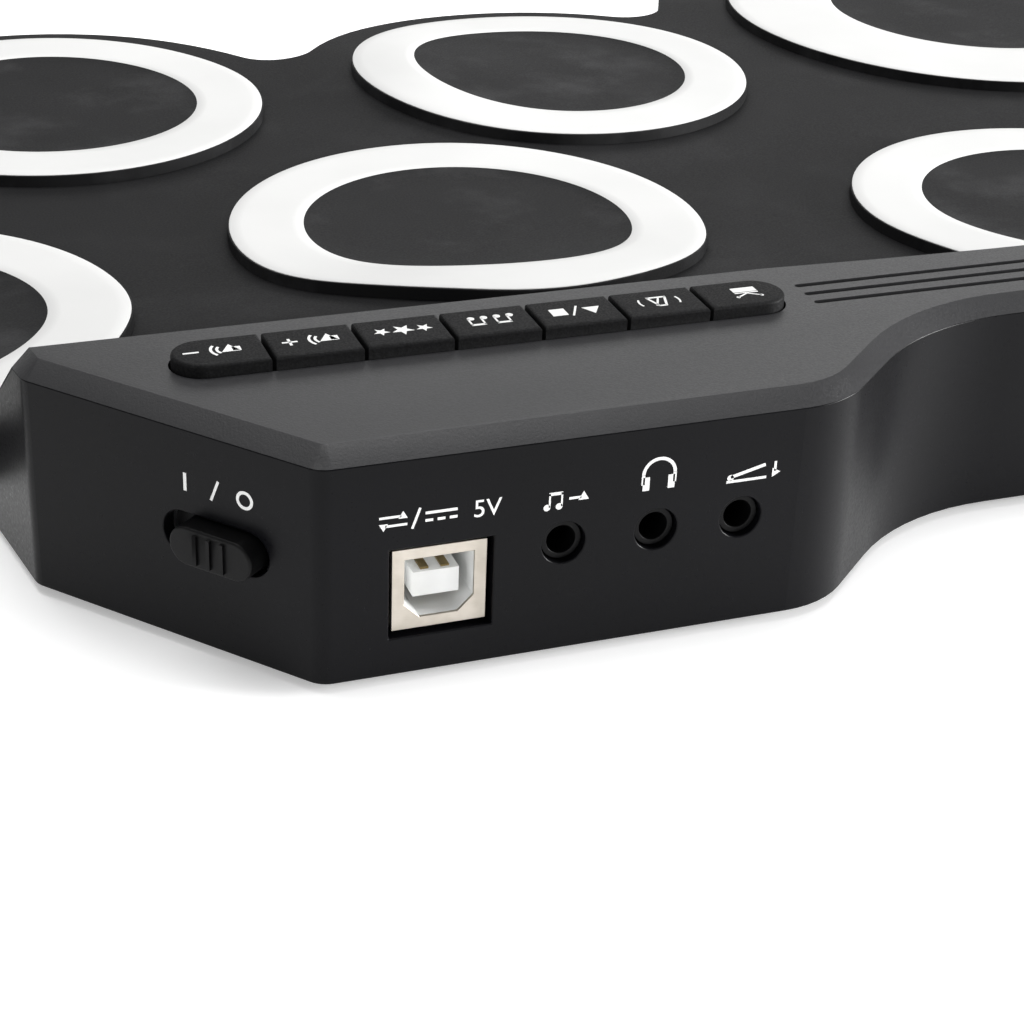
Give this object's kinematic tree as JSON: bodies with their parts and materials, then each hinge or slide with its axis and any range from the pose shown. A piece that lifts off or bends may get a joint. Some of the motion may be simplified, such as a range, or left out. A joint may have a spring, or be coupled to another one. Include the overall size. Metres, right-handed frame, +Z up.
{
  "type": "electronic drum pad",
  "caption": "Flexible silicone mat with round striking pads and a rigid control console along its rear edge, with rubber keys, a slide switch, audio jacks and a power socket.",
  "frame": {"origin": "on the resting surface, under the middle of the whole object", "axes": "+X the player's right, +Y the rear with the sockets, +Z up"},
  "size_m": [0.437, 0.3035, 0.0327],
  "materials": {
    "lid_plastic": "fine spark-eroded texture",
    "shell_plastic": "satin",
    "key_rubber": "fine matte",
    "contact_rubber": "matte",
    "circuit_board": "solder mask",
    "chip_plastic": "moulded",
    "connector_plastic": "moulded",
    "film": "clear film",
    "carbon_ink": "printed",
    "steel": "zinc plated",
    "nickel": "nickel plated",
    "white_plastic": "moulded",
    "gold_contact": "plated",
    "black_plastic": "moulded",
    "speaker_plastic": "moulded",
    "cone_paper": "pressed",
    "magnet": "plated",
    "cloth": "woven",
    "cell_foil": "foil",
    "foot_rubber": "matte",
    "mat_silicone": "matte",
    "pad_silicone": "matte",
    "ring_silicone": "matte"
  },
  "bodies": {
    "console_and_mat": {"battery_cell": "cell_foil", "board_components": "chip_plastic", "case_screws": "steel", "jack_audio_in": "black_plastic", "jack_headphone": "black_plastic", "jack_pedal": "black_plastic", "key_board": "circuit_board", "key_board_screws": "steel", "key_contact_sheet": "contact_rubber", "lower_shell": "shell_plastic", "main_board": "circuit_board", "main_board_screws": "steel", "mat_bottom_skin": "mat_silicone", "mat_clamp": "steel", "mat_clamp_screws": "steel", "mat_top_skin": "mat_silicone", "pad_crash": "pad_silicone", "pad_hihat": "pad_silicone", "pad_ride": "pad_silicone", "pad_ring_crash": "ring_silicone", "pad_ring_hihat": "ring_silicone", "pad_ring_ride": "ring_silicone", "pad_ring_snare": "ring_silicone", "pad_ring_tom_high": "ring_silicone", "pad_ring_tom_low": "ring_silicone", "pad_ring_tom_mid": "ring_silicone", "pad_snare": "pad_silicone", "pad_tom_high": "pad_silicone", "pad_tom_low": "pad_silicone", "pad_tom_mid": "pad_silicone", "rubber_feet": "foot_rubber", "sensor_film_lower": "film", "sensor_film_spacer": "film", "sensor_film_upper": "film", "sensor_patches": "carbon_ink", "sensor_tail": "film", "socket_contacts": "gold_contact", "socket_insert": "white_plastic", "socket_shell": "nickel", "speaker_basket_left": "speaker_plastic", "speaker_basket_right": "speaker_plastic", "speaker_cloth": "cloth", "speaker_cone_left": "cone_paper", "speaker_cone_right": "cone_paper", "speaker_magnet_left": "magnet", "speaker_magnet_right": "magnet", "switch_body": "black_plastic", "switch_bracket": "steel", "switch_rivets": "steel", "tail_connector": "connector_plastic", "upper_lid": "lid_plastic"},
    "key_kit": {"key_kit": "key_rubber"},
    "key_click": {"key_click": "key_rubber"},
    "key_play_stop": {"key_play_stop": "key_rubber"},
    "key_demo": {"key_demo": "key_rubber"},
    "key_special": {"key_special": "key_rubber"},
    "key_volume_up": {"key_volume_up": "key_rubber"},
    "key_volume_down": {"key_volume_down": "key_rubber"},
    "power_switch": {"switch_knob": "black_plastic"}
  },
  "joints": [
    {"name": "key_kit_press", "type": "slide", "parent": "console_and_mat", "child": "key_kit", "axis": [0, 0, -1], "range_m": [0, 0.001], "stiffness_N_per_m": 600, "springref_m": -0.0005},
    {"name": "key_click_press", "type": "slide", "parent": "console_and_mat", "child": "key_click", "axis": [0, 0, -1], "range_m": [0, 0.001], "stiffness_N_per_m": 600, "springref_m": -0.0005},
    {"name": "key_play_stop_press", "type": "slide", "parent": "console_and_mat", "child": "key_play_stop", "axis": [0, 0, -1], "range_m": [0, 0.001], "stiffness_N_per_m": 600, "springref_m": -0.0005},
    {"name": "key_demo_press", "type": "slide", "parent": "console_and_mat", "child": "key_demo", "axis": [0, 0, -1], "range_m": [0, 0.001], "stiffness_N_per_m": 600, "springref_m": -0.0005},
    {"name": "key_special_press", "type": "slide", "parent": "console_and_mat", "child": "key_special", "axis": [0, 0, -1], "range_m": [0, 0.001], "stiffness_N_per_m": 600, "springref_m": -0.0005},
    {"name": "key_volume_up_press", "type": "slide", "parent": "console_and_mat", "child": "key_volume_up", "axis": [0, 0, -1], "range_m": [0, 0.001], "stiffness_N_per_m": 600, "springref_m": -0.0005},
    {"name": "key_volume_down_press", "type": "slide", "parent": "console_and_mat", "child": "key_volume_down", "axis": [0, 0, -1], "range_m": [0, 0.001], "stiffness_N_per_m": 600, "springref_m": -0.0005},
    {"name": "power_switch_slide", "type": "slide", "parent": "console_and_mat", "child": "power_switch", "axis": [0.6428, -0.766, 0], "range_m": [0, 0.0024]}
  ]
}
